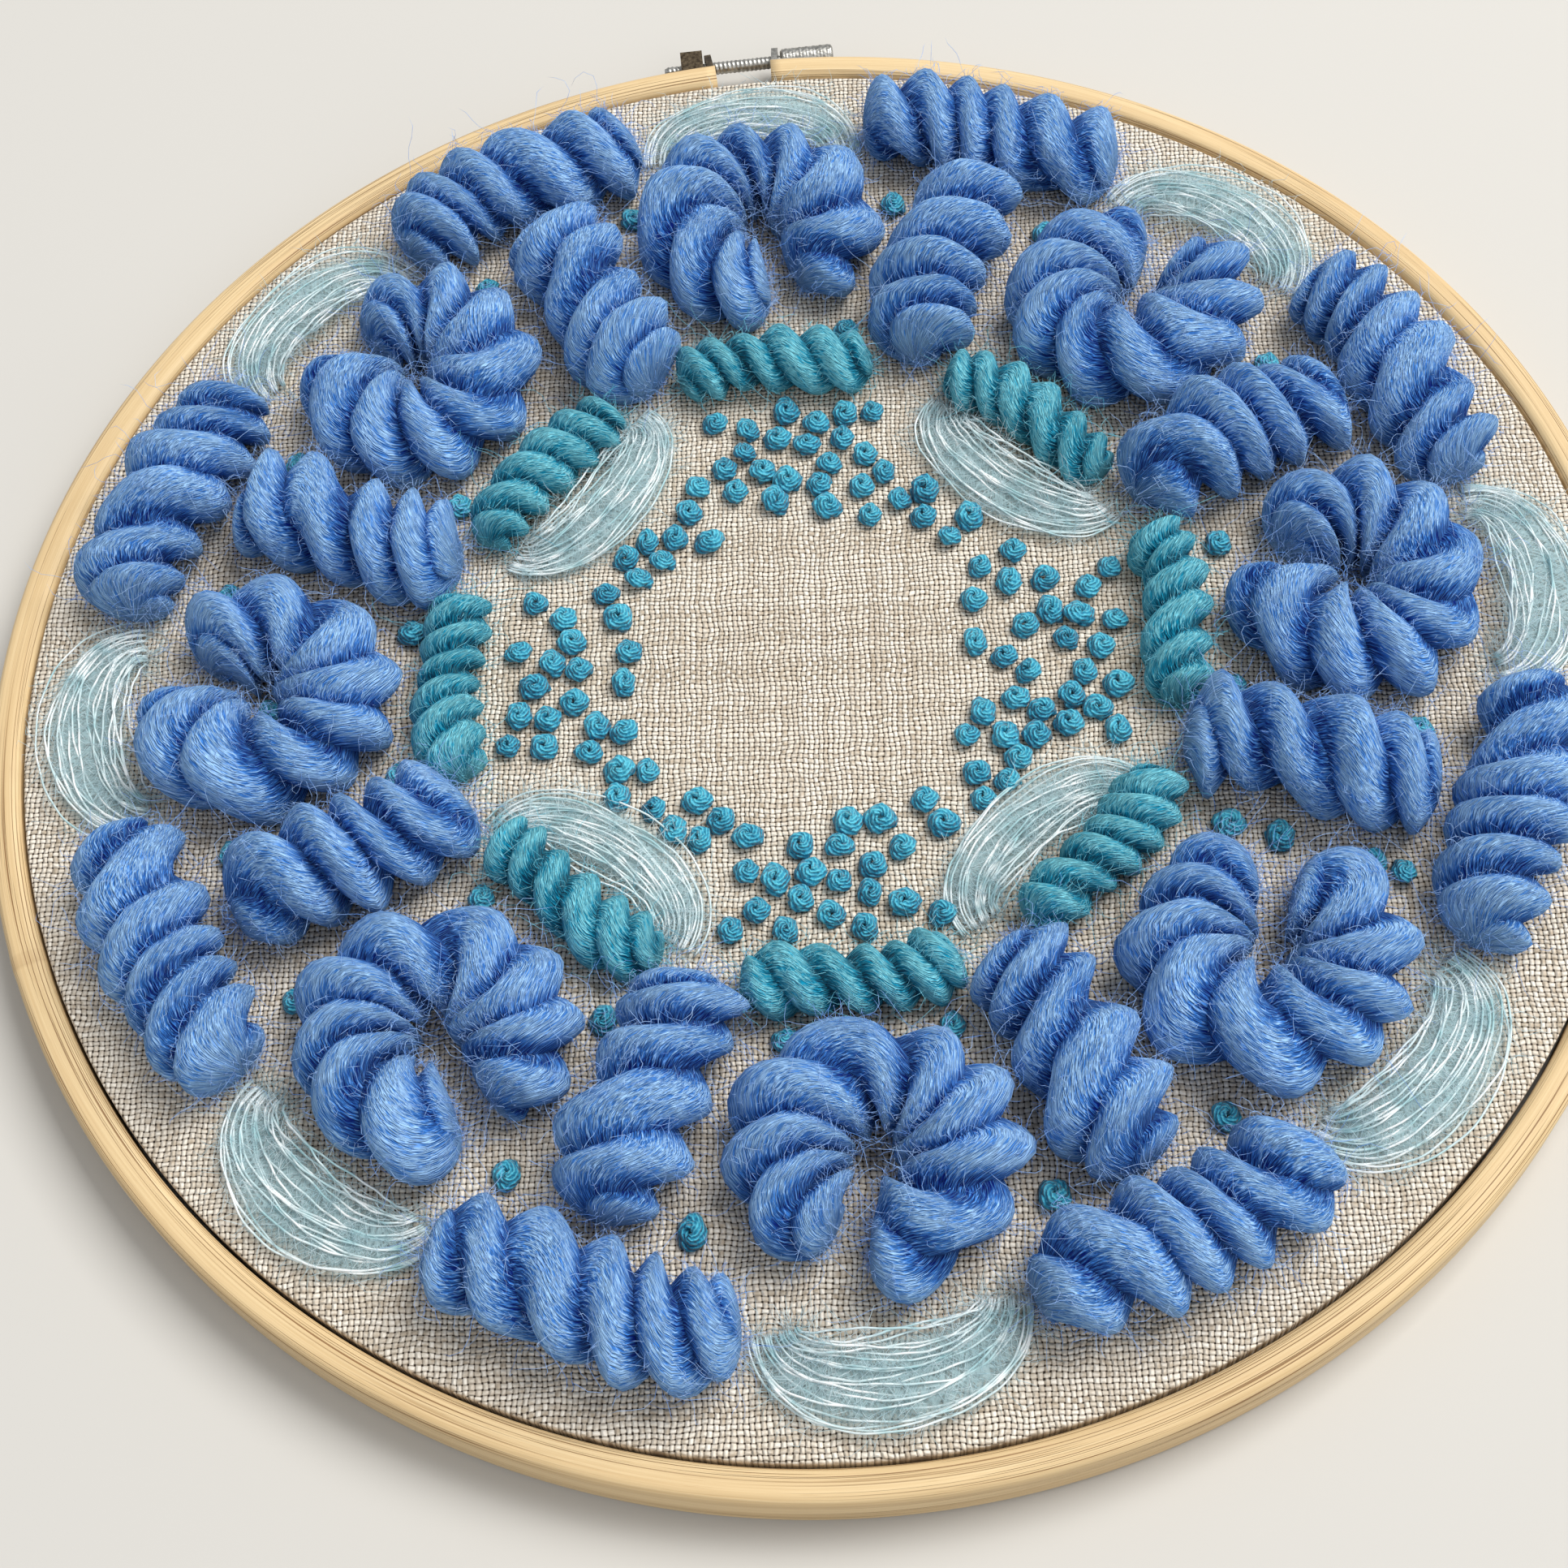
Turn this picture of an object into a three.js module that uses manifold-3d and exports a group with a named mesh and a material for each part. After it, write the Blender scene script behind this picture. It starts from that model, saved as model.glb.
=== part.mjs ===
// Embroidery hoop art: linen drawn tight in a round bamboo hoop and worked with a wreath of thick wool
// roving, mohair loops and French knots. Millimetres, +Z up: the hoop lies on its back, its screw at +Y.
import * as THREE from 'three';
import { mergeVertices } from 'three/addons/utils/BufferGeometryUtils.js';
import Module from 'manifold-3d';

const wasm = await Module();
wasm.setup();

// Hoop
const HOOP_INSIDE = 127; // where the outer ring meets the linen: a 10 inch hoop
const RING_WALL = 5.1;
const RING_HEIGHT = 10.4;
const RING_EDGE = 1; // rounding of the ring's edges
const RING_SPLIT = 10; // gap between the ends of the outer ring
const INNER_WALL = 4.4;
const FACETS = 60;
const CLEAR = 0.35; // between a piece and its neighbour
const FACET_SAG = 0.18; // how far a facet of a ring lies inside its circle

// Linen
const CLOTH_TOP = 10;
const CLOTH_THICK = 1;
const CLOTH_SHOULDER = 0.6; // where the cloth turns down over the inner ring
const CLOTH_FOOT = 0.8; // lower edge of the rim, above the surface the hoop lies on

// French knots
const KNOT_RADIUS = 2.1;
const KNOT_HEIGHT = 2.3;
const KNOT_BROW = 1.65; // radius where the knot's side turns in to its crown
const KNOT_BROW_UP = 1.6;
const KNOT_SIDES = 5;
const KNOT_COUNT = 200; // at most
const KNOT_TRIES = 9000;
const KNOT_PITCH = 4.4; // least distance between two knots
const KNOT_MARGIN = 0.35; // between a knot and the wool beside it
const KNOT_NEAR = 26; // the centre inside this radius stays bare
const KNOT_FAR = 104;
const KNOT_FADE = 20; // over which the knots thicken from none at their inner edge
const WOOL_CHECKS = 17; // points of a laid length that a knot is held clear of
const WOOL_CHECK_END = 0.05; // the first of them, as a share of the length
const GOLDEN_ANGLE = Math.PI * (3 - Math.sqrt(5));
const OUT_STEP = 0.7548776662; // steps of two steady sequences that share out distances and chances
const CHANCE_STEP = 0.5698402910;

// Screw and lugs
const SCREW_OUT = 136.2; // from the hoop's centre to the screw's axis
const SCREW_UP = 4.6;
const ROD_RADIUS = 1.2;
const HOLE_RADIUS = 1.6;
const HOLE_SIDES = 12;
const DRILL_LENGTH = 40;
const KNOB_RADIUS = 2.3;
const KNOB_LENGTH = 9.9;
const KNOB_EDGE = 0.5;
const NUT_SIDE = 5;
const NUT_LENGTH = 4.1;
const ROD_END = 14.6; // from the hoop's middle plane to the end of the rod
const LUG_LENGTH = 8.8;
const LUG_THICK = 0.7;
const TAB_THICK = 1.2;
const TAB_ROUND = 2.6; // radius of the tab around its hole
const LUG_LOW = 1.2;
const LUG_HIGH = 8.6;
const LUG_INSET = 0.3; // from the ring's end to the lug's
const LUG_TURN = Math.asin((RING_SPLIT / 2 + LUG_LENGTH / 2 + LUG_INSET) / (HOOP_INSIDE + RING_WALL));
const SCREW_SIDES = 14;
const ROD_CHAMFER = 0.3;
const FITTING_START = 7.3; // from the middle plane to the nut on one side and the knob on the other

// Yarns, as laid: half width and half height, then how far the plies stand out, their number and the
// length in which they wind round once, and the length of a step and the number of sides of the solid.
const BLUE = { color: 0x6088d0, wide: 8, high: 6.8, lobe: 0.18, plies: 2, pitch: 16, step: 2.4, sides: 7 };
const TEAL = { color: 0x3ca5b4, wide: 4.8, high: 4.4, lobe: 0.18, plies: 2, pitch: 11, step: 2, sides: 6 };
const HAZE = { color: 0xaacdcd, wide: 5, high: 2.2, lobe: 0, plies: 1, pitch: 1, step: 5, sides: 6 };

// Wreath: eight sectors of two kinds in turn. A row is one laid length in each sector of its kinds: out is
// its distance from the centre and along its angle in the sector. Heading is its turn from the rim's
// direction, free by how much the hand varies it. It turns by bend over its length, sways to and fro by
// sway, and stands higher by crown at its middle.
const SECTORS = 8;
const BOTH = [0, 1];
const SECOND = [1];
const COLUMNS = 'name yarn kinds out along heading free length bend sway crown'.split(' ');
const WREATH = [
  ['blue_curl', BLUE, BOTH, 86, 0, 0, 180, 72, 335, 0, 0.15],
  ['blue_outer', BLUE, BOTH, 109.4, 22.5, 0, 2, 46, 24, 0.8, 0.1],
  ['blue_spoke', BLUE, BOTH, 79, 22.5, 90, 2, 39, 8, 0.6, 0.3],
  ['teal', TEAL, BOTH, 57, 0, 0, 2, 33, 30, 0.6, 0.1],
  ['mohair', HAZE, BOTH, 114.6, 0, 0, 3, 30, 18, 0, 0],
  ['mohair', HAZE, SECOND, 44.5, -3, 0, 8, 32, 50, 0, 0.2],
].map((row) => Object.fromEntries(row.map((value, i) => [COLUMNS[i], value])));
const HAND_SHIFT = 0.5; // by how much a laid length strays from its even place

const WOOL_FLOOR = CLOTH_TOP + CLEAR;
const BLUNT = 0.7; // length of a laid length's rounded end, as a share of its half width
const SETTLE = 0.88; // height of a laid length's axis over the linen, as a share of its half height
const GLANCE = 0.001; // a small share of a length, to tell its direction
const radians = THREE.MathUtils.degToRad;

const fraction = (x) => x - Math.floor(x);

// A steady value from -1 to 1 for each seed.
const stray = (seed) => 2 * fraction(Math.sin(seed * 12.9898) * 43758.5453) - 1;

// Leaves only positions, joins points that coincide, drops empty triangles and turns the faces outwards.
function closed(source) {
  const bare = source.clone();
  for (const name of ['normal', 'uv']) bare.deleteAttribute(name);
  const merged = mergeVertices(bare, 1e-4);
  const { array } = merged.index;
  const at = (corner) => new THREE.Vector3().fromBufferAttribute(merged.attributes.position, corner);
  let faces = [];
  let volume = 0;
  for (let i = 0; i < array.length; i += 3) {
    const [a, b, c] = array.slice(i, i + 3);
    if (a === b || b === c || c === a) continue;
    faces.push(a, b, c);
    volume += at(a).dot(at(b).cross(at(c)));
  }
  if (volume < 0) faces = faces.reverse();
  merged.setIndex(faces);
  return merged;
}

function asManifold(geometry) {
  const { index, attributes } = closed(geometry);
  const vertProperties = new Float32Array(attributes.position.array);
  const triVerts = new Uint32Array(index.array);
  return new wasm.Manifold(new wasm.Mesh({ numProp: 3, vertProperties, triVerts }));
}

function asGeometry(manifold) {
  const { vertProperties, triVerts } = manifold.getMesh();
  const geometry = new THREE.BufferGeometry();
  geometry.setAttribute('position', new THREE.BufferAttribute(vertProperties, 3));
  geometry.setIndex(new THREE.BufferAttribute(triVerts, 1));
  return geometry;
}

function piece(name, geometry, look) {
  const mesh = new THREE.Mesh(closed(geometry), new THREE.MeshStandardMaterial(look));
  mesh.name = name;
  return mesh;
}

const bamboo = { color: 0xd9bc8c, roughness: 0.55, metalness: 0 };
const steel = { color: 0xb9b8b4, roughness: 0.35, metalness: 1 };
const bronze = { color: 0x6d6252, roughness: 0.45, metalness: 1 };
const cloth = { color: 0xb9ab96, roughness: 0.95, metalness: 0 };

// The outer ring is a bent strip whose two ends stop short of each other at +Y.
function outerRing() {
  const half = Math.asin(RING_SPLIT / 2 / HOOP_INSIDE);
  const start = Math.PI / 2 + half;
  const end = Math.PI * 2.5 - half;
  const outline = new THREE.Shape();
  outline.absarc(0, 0, HOOP_INSIDE + RING_WALL, start, end, false);
  outline.absarc(0, 0, HOOP_INSIDE, end, start, true);
  const strip = new THREE.ExtrudeGeometry(outline, {
    depth: RING_HEIGHT - 2 * RING_EDGE,
    bevelThickness: RING_EDGE,
    bevelSize: RING_EDGE,
    bevelOffset: -RING_EDGE,
    bevelSegments: 1,
    curveSegments: FACETS / 2,
  });
  return strip.translate(0, 0, RING_EDGE);
}

const CLOTH_RIM = HOOP_INSIDE - FACET_SAG - CLEAR;
const INNER_RADIUS = CLOTH_RIM - CLOTH_THICK - CLEAR;

function innerRing() {
  const top = CLOTH_TOP - CLOTH_THICK - CLEAR;
  const section = [
    [INNER_RADIUS - INNER_WALL, 0],
    [INNER_RADIUS, 0],
    [INNER_RADIUS, top],
    [INNER_RADIUS - INNER_WALL, top],
    [INNER_RADIUS - INNER_WALL, 0],
  ].map(([out, up]) => new THREE.Vector2(out, up));
  return new THREE.LatheGeometry(section, FACETS).rotateX(Math.PI / 2);
}

function circle(radius, sides, x = 0, y = 0, turn = 0) {
  return Array.from({ length: sides }, (_, i) => {
    const angle = turn + (2 * Math.PI * i) / sides;
    return new THREE.Vector2(x + radius * Math.cos(angle), y + radius * Math.sin(angle));
  });
}

// The linen is one skin: its face with the knots standing in it, its rim turned down between the rings,
// and its underside.
function linen(knots) {
  const position = [];
  const faces = [];
  const ring = (points, z) => {
    const first = position.length / 3;
    for (const point of points) position.push(point.x, point.y, z);
    return Array.from(points, (_, i) => first + i);
  };
  const band = (low, high) => {
    low.forEach((a, i) => {
      const j = (i + 1) % low.length;
      faces.push(a, low[j], high[j], a, high[j], high[i]);
    });
  };

  const rim = circle(CLOTH_RIM - CLOTH_SHOULDER, FACETS);
  const holes = knots.map(({ x, y, turn }) => circle(KNOT_RADIUS, KNOT_SIDES, x, y, turn));
  const edge = ring(rim, CLOTH_TOP);
  const feet = holes.map((hole) => ring(hole, CLOTH_TOP));
  const corners = [edge, ...feet].flat();
  for (const face of THREE.ShapeUtils.triangulateShape(rim, holes)) {
    faces.push(...face.map((corner) => corners[corner]));
  }
  knots.forEach(({ x, y, turn }, i) => {
    const brow = ring(circle(KNOT_BROW, KNOT_SIDES, x, y, turn), CLOTH_TOP + KNOT_BROW_UP);
    band(feet[i], brow);
    const [crown] = ring([new THREE.Vector2(x, y)], CLOTH_TOP + KNOT_HEIGHT);
    brow.forEach((a, j) => faces.push(a, brow[(j + 1) % KNOT_SIDES], crown));
  });

  const outside = ring(circle(CLOTH_RIM, FACETS), CLOTH_TOP - CLOTH_SHOULDER);
  const foot = ring(circle(CLOTH_RIM, FACETS), CLOTH_FOOT);
  const hem = ring(circle(CLOTH_RIM - CLOTH_THICK, FACETS), CLOTH_FOOT);
  const under = circle(CLOTH_RIM - CLOTH_THICK, FACETS);
  const back = ring(under, CLOTH_TOP - CLOTH_THICK);
  band(outside, edge);
  band(foot, outside);
  band(hem, foot);
  band(back, hem);
  for (const face of THREE.ShapeUtils.triangulateShape(under, [])) {
    const [a, b, c] = face.map((corner) => back[corner]);
    faces.push(a, c, b);
  }

  const geometry = new THREE.BufferGeometry();
  geometry.setAttribute('position', new THREE.Float32BufferAttribute(position, 3));
  geometry.setIndex(faces);
  return geometry;
}

// A laid length's path: an arc that turns by bend over its length. A curl is placed by the centre of its
// arc, a straighter length by its middle of mass.
class Lay {
  constructor({ x, y, heading, length, bend, sway }) {
    const radius = length / bend;
    Object.assign(this, { x, y, heading, bend, sway, radius });
    this.middle = bend > Math.PI ? radius : radius * (1 - Math.sin(bend / 2) / (bend / 2));
  }

  point(t) {
    const turn = this.bend * (t - 0.5);
    const on = this.radius * Math.sin(turn);
    const off = this.radius * (1 - Math.cos(turn)) - this.middle + this.sway * Math.sin(2 * Math.PI * t);
    const [c, s] = [Math.cos(this.heading), Math.sin(this.heading)];
    return new THREE.Vector2(this.x + c * on - s * off, this.y + s * on + c * off);
  }

  side(t) {
    const ahead = this.point(t + GLANCE).sub(this.point(t - GLANCE)).normalize();
    return new THREE.Vector2(-ahead.y, ahead.x);
  }
}

// A length of fibre on its path: a capsule whose points are moved onto the path, with its plies raised as
// lobes that wind round it and its underside flat on the linen.
function laid({ lay, length, crown, yarn }) {
  const steps = Math.round(length / yarn.step);
  const capsule = new THREE.CapsuleGeometry(1, 2, 2, yarn.sides, steps);
  const at = capsule.attributes.position;
  const end = BLUNT * yarn.wide;
  const straight = length / 2 - end;
  for (let i = 0; i < at.count; i++) {
    const up = at.getY(i);
    const past = Math.max(0, Math.abs(up) - 1);
    const along = Math.sign(up) * (Math.min(1, Math.abs(up)) * straight + past * end);
    const angle = Math.atan2(at.getZ(i), at.getX(i));
    const wind = (2 * Math.PI * along) / yarn.pitch;
    const lobes = Math.cos(yarn.plies * (angle - wind));
    const swell = Math.hypot(at.getX(i), at.getZ(i)) * (1 + yarn.lobe * lobes);
    const t = 0.5 + along / length;
    const across = lay.side(t).multiplyScalar(swell * yarn.wide * Math.cos(angle));
    const rise = yarn.high * (1 + crown * (1 - (2 * t - 1) ** 2));
    const height = WOOL_FLOOR + rise * (SETTLE + swell * Math.sin(angle));
    const { x, y } = lay.point(t).add(across);
    at.setXYZ(i, x, y, Math.max(WOOL_FLOOR, height));
  }
  return capsule;
}

// The rows of the wreath, laid out in every sector with the hand's small strays.
function wreath() {
  const lengths = [];
  const numbers = {};
  for (let sector = 0; sector < SECTORS; sector++) {
    WREATH.forEach((row, index) => {
      if (!row.kinds.includes(sector % 2)) return;
      const seed = sector * WREATH.length + index + 1;
      const angle = radians((360 / SECTORS) * sector + row.along) + (HAND_SHIFT * stray(seed)) / row.out;
      const out = row.out + HAND_SHIFT * stray(seed + 0.37);
      const number = (numbers[row.name] = (numbers[row.name] ?? 0) + 1);
      const lay = new Lay({
        x: out * Math.cos(angle),
        y: out * Math.sin(angle),
        heading: angle + Math.PI / 2 + radians(row.heading + row.free * stray(seed + 0.71)),
        length: row.length,
        bend: radians(row.bend),
        sway: row.sway,
      });
      lengths.push({ ...row, name: `${row.name}_${String(number).padStart(2, '0')}`, lay });
    });
  }
  return lengths;
}

// French knots crowd the free linen of the wreath and thin out towards the bare centre.
function knotPlaces(lengths) {
  const wool = lengths.flatMap(({ lay, yarn }) =>
    Array.from({ length: WOOL_CHECKS }, (_, i) => {
      const t = WOOL_CHECK_END + ((1 - 2 * WOOL_CHECK_END) * i) / (WOOL_CHECKS - 1);
      return { at: lay.point(t), reach: yarn.wide * (1 + yarn.lobe) + KNOT_RADIUS + KNOT_MARGIN };
    }),
  );
  const knots = [];
  for (let i = 0; i < KNOT_TRIES && knots.length < KNOT_COUNT; i++) {
    const share = fraction(i * OUT_STEP);
    const out = KNOT_NEAR + (KNOT_FAR - KNOT_NEAR) * share;
    if (fraction(i * CHANCE_STEP) > (out - KNOT_NEAR) / KNOT_FADE) continue;
    const at = new THREE.Vector2(out * Math.cos(i * GOLDEN_ANGLE), out * Math.sin(i * GOLDEN_ANGLE));
    const free = wool.every((spot) => spot.at.distanceTo(at) > spot.reach);
    const apart = knots.every((knot) => Math.hypot(knot.x - at.x, knot.y - at.y) > KNOT_PITCH);
    if (free && apart) knots.push({ x: at.x, y: at.y, turn: i });
  }
  return knots;
}

// A round hole of the screw's clearance along X.
function drill(y, z) {
  const bit = new THREE.CylinderGeometry(HOLE_RADIUS, HOLE_RADIUS, DRILL_LENGTH, HOLE_SIDES);
  return asManifold(bit.rotateZ(Math.PI / 2).translate(0, y, z));
}

// A lug is a strip on the outside of a ring's end with a tab standing out from it, drilled for the screw.
function lug(side) {
  const outside = HOOP_INSIDE + RING_WALL + CLEAR;
  const near = -side * (LUG_LENGTH - TAB_THICK) / 2;
  const strip = new THREE.BoxGeometry(LUG_LENGTH, LUG_THICK, LUG_HIGH - LUG_LOW);
  strip.translate(0, outside + LUG_THICK / 2, (LUG_HIGH + LUG_LOW) / 2);
  const axis = (SCREW_OUT + side * near * Math.sin(LUG_TURN)) / Math.cos(LUG_TURN);
  const outline = new THREE.Shape();
  outline.moveTo(outside, LUG_LOW);
  outline.absarc(axis, SCREW_UP, TAB_ROUND, -Math.PI / 3, Math.PI / 3, false);
  outline.lineTo(outside, LUG_HIGH);
  const tab = new THREE.ExtrudeGeometry(outline, { depth: TAB_THICK, bevelEnabled: false, curveSegments: 4 });
  tab.rotateX(Math.PI / 2).rotateZ(Math.PI / 2).translate(near - TAB_THICK / 2, 0, 0);
  return asGeometry(asManifold(strip).add(asManifold(tab)).subtract(drill(axis, SCREW_UP)));
}

// Rod and knob are turned in one piece about the screw's axis, which runs along X.
function screw() {
  const profile = [
    [0, -ROD_END],
    [ROD_RADIUS - ROD_CHAMFER, -ROD_END],
    [ROD_RADIUS, -ROD_END + ROD_CHAMFER],
    [ROD_RADIUS, FITTING_START],
    [KNOB_RADIUS - KNOB_EDGE, FITTING_START],
    [KNOB_RADIUS, FITTING_START + KNOB_EDGE],
    [KNOB_RADIUS, FITTING_START + KNOB_LENGTH - KNOB_EDGE],
    [KNOB_RADIUS - KNOB_EDGE, FITTING_START + KNOB_LENGTH],
    [0, FITTING_START + KNOB_LENGTH],
  ].map(([out, along]) => new THREE.Vector2(out, along));
  return new THREE.LatheGeometry(profile, SCREW_SIDES).rotateZ(-Math.PI / 2);
}

function nut() {
  const block = new THREE.BoxGeometry(NUT_LENGTH, NUT_SIDE, NUT_SIDE);
  block.translate(-FITTING_START - NUT_LENGTH / 2, 0, 0);
  return asGeometry(asManifold(block).subtract(drill(0, 0)));
}

function fittings() {
  const group = new THREE.Group();
  for (const [name, side] of [['lug_right', 1], ['lug_left', -1]]) {
    const mesh = piece(name, lug(side), side > 0 ? steel : bronze);
    mesh.rotation.z = -side * LUG_TURN;
    group.add(mesh);
  }
  const turned = new THREE.Group();
  turned.position.set(0, SCREW_OUT, SCREW_UP);
  turned.add(piece('screw', screw(), steel));
  turned.add(piece('screw_nut', nut(), bronze));
  group.add(turned);
  return group;
}

const lengths = wreath();
const model = new THREE.Group();
model.add(piece('hoop_outer', outerRing(), bamboo));
model.add(piece('hoop_inner', innerRing(), bamboo));
model.add(piece('linen', linen(knotPlaces(lengths)), cloth));
for (const length of lengths) {
  const look = { color: length.yarn.color, roughness: 0.95, metalness: 0 };
  model.add(piece(length.name, laid(length), look));
}
model.add(fittings());

// The origin is under the middle of the whole piece, which the screw's tabs draw towards +Y.
model.position.y = (HOOP_INSIDE + RING_WALL - SCREW_OUT - TAB_ROUND) / 2;

export default model;
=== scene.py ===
# Embroidery hoop art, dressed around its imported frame: a bamboo hoop with linen, wool roving, teal yarn,
# mohair and French knots. Sizes are in millimetres from the hoop's centre, until place() puts them in the
# frame in metres.
import math

import bpy
import numpy as np
from mathutils import Matrix, Vector

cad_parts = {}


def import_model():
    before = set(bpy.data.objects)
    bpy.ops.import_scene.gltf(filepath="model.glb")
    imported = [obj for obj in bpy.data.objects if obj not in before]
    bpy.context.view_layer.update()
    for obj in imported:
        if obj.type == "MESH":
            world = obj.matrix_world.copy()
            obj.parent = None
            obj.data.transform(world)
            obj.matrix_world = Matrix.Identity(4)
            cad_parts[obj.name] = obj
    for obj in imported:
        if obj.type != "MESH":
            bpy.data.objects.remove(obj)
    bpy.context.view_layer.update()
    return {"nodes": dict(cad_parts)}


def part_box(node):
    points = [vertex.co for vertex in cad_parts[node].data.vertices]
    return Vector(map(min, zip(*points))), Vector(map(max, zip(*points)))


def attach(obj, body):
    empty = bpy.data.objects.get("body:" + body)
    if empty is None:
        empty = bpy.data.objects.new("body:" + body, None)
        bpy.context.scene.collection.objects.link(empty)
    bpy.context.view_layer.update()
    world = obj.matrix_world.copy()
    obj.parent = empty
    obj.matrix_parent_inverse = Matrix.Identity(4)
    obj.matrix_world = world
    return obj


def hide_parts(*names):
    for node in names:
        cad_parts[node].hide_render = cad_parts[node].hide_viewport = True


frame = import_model()
nodes = frame["nodes"]

# Hoop and linen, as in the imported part
HOOP_INSIDE = 127
RING_WALL = 5.1
RING_HEIGHT = 10.4
RING_SPLIT = 10
INNER_WALL = 4.4
CLOTH_RIM = 126.47
CLOTH_TOP = 10
CLOTH_THICK = 0.8
CLOTH_SHOULDER = 0.6
CLOTH_FOOT = 0.8
INNER_RADIUS = 125.12
INNER_TOP = 8.65
WOOL_FLOOR = 10.12
KNOT_CROWN = 12  # only the crowns of the cloth's knots reach this height

# Screw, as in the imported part
SCREW_OUT = 136.2
SCREW_UP = 4.6
ROD_RADIUS = 1.2
ROD_END = 14.6
KNOB_RADIUS = 2.3
KNOB_LENGTH = 9.9
KNOB_EDGE = 0.5
FITTING_START = 7.3

# Yarns: half width and half height as laid, the length in which the plies wind round once, how far a
# ply's middle lies from the yarn's and the ply's own radius, both as shares of the half width, then the
# points round a ply, the step between its stations, and its fuzz as a share of the roving's.
BLUE = {"slot": "roving_blue", "wide": 8, "high": 6.8, "pitch": 16, "off": 0.38, "ply": 0.79,
        "sides": 20, "step": 1.1, "hair": 1}
TEAL = {"slot": "yarn_teal", "wide": 4.8, "high": 4.4, "pitch": 11, "off": 0.38, "ply": 0.79,
        "sides": 16, "step": 0.85, "hair": 0.7}

# The wreath's rows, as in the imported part: eight sectors of two kinds in turn. A row gives how far out
# from the centre and how far along in its sector it lies, in degrees, its heading from the tangent and
# how freely that strays, then the length, bend and sway of its arc, and how much it rises at its middle.
# A row with no yarn is a fan of mohair loops.
SECTORS = 8
HAND_SHIFT = 0.5  # how far a laid length strays from its place
BLUNT = 0.7  # length of its rounded ends, as a share of the yarn's half width
SETTLE = 0.88  # height of its axis over the cloth, as a share of the yarn's half height
WREATH = [
    {"name": "blue_curl", "yarn": BLUE, "kinds": (0, 1), "out": 86, "along": 0,
     "heading": 0, "free": 180, "length": 72, "bend": 335, "sway": 0, "crown": 0.15},
    {"name": "blue_outer", "yarn": BLUE, "kinds": (0, 1), "out": 109.4, "along": 22.5,
     "heading": 0, "free": 2, "length": 46, "bend": 24, "sway": 0.8, "crown": 0.1},
    {"name": "blue_spoke", "yarn": BLUE, "kinds": (0, 1), "out": 79, "along": 22.5,
     "heading": 90, "free": 2, "length": 39, "bend": 8, "sway": 0.6, "crown": 0.3},
    {"name": "teal", "yarn": TEAL, "kinds": (0, 1), "out": 57, "along": 0,
     "heading": 0, "free": 2, "length": 33, "bend": 30, "sway": 0.6, "crown": 0.1},
    {"name": "mohair", "yarn": None, "kinds": (0, 1), "out": 114.6, "along": 0,
     "heading": 0, "free": 3, "length": 30, "bend": 18, "sway": 0, "crown": 0},
    {"name": "mohair", "yarn": None, "kinds": (1,), "out": 44.5, "along": -3,
     "heading": 0, "free": 8, "length": 32, "bend": 50, "sway": 0, "crown": 0.2},
]

ring_low, ring_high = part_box("hoop_inner")
CENTRE = np.array([0, (ring_low.y + ring_high.y) / 2, 0])


def place(points):
    """Millimetres from the hoop's centre to metres in the frame."""
    return points / 1000 + CENTRE


def unit(vectors):
    """Each vector divided by its length."""
    return vectors / np.maximum(np.linalg.norm(vectors, axis=-1, keepdims=True), 1e-9)


# Meshes

def skin(name, rows, ends=None, along=None, around=None, marks=None):
    """Lays faces over rows (pieces, stations, sides, 3), in which a station's points run round its piece.
    ends (pieces, 2, 3) is the point that closes each end; without it the last station joins the first.
    The UV map holds the lengths along and around, in millimetres, of the stations and of the sides. Each
    further piece has its lengths along shifted, so that no two look alike."""
    count, stations, sides = rows.shape[:3]
    spans = stations if ends is None else stations - 1
    along = np.arange(spans + 1.0) if along is None else along
    around = np.arange(sides + 1.0) if around is None else around
    shift = np.arange(count)[:, None, None, None] * (along[-1] + around[-1])

    index = np.arange(count * stations * sides).reshape(count, stations, sides)
    here = index[:, :spans]
    ahead = np.roll(index, -1, 1)[:, :spans]
    quads = np.stack([here, ahead, np.roll(ahead, -1, 2), np.roll(here, -1, 2)], -1).reshape(-1, 4)
    station = np.arange(spans)[:, None, None] + np.array([0, 1, 1, 0])
    side = np.arange(sides)[:, None] + np.array([0, 0, 1, 1])
    uv = np.stack(np.broadcast_arrays(along[station] + shift, around[side]), -1).reshape(-1, 4, 2)

    points = rows.reshape(-1, 3)
    tris = np.zeros((0, 3), int)
    tri_uv = np.zeros((0, 3, 2))
    if ends is not None:
        tris, tri_uv = tip_faces(index, len(points), along[[0, -1]], around, shift)
        points = np.concatenate([points, ends.reshape(-1, 3)])

    a, b, c = (points[quads[:, i]] for i in (0, 1, 2))
    if np.einsum("ij,ij->", a, np.cross(b, c)) < 0:
        quads, uv = quads[:, ::-1], uv[:, ::-1]
        tris, tri_uv = tris[:, ::-1], tri_uv[:, ::-1]
    corners = np.concatenate([uv.reshape(-1, 2), tri_uv.reshape(-1, 2)])
    return mesh_piece(name, points, quads, tris, corners, marks)


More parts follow.
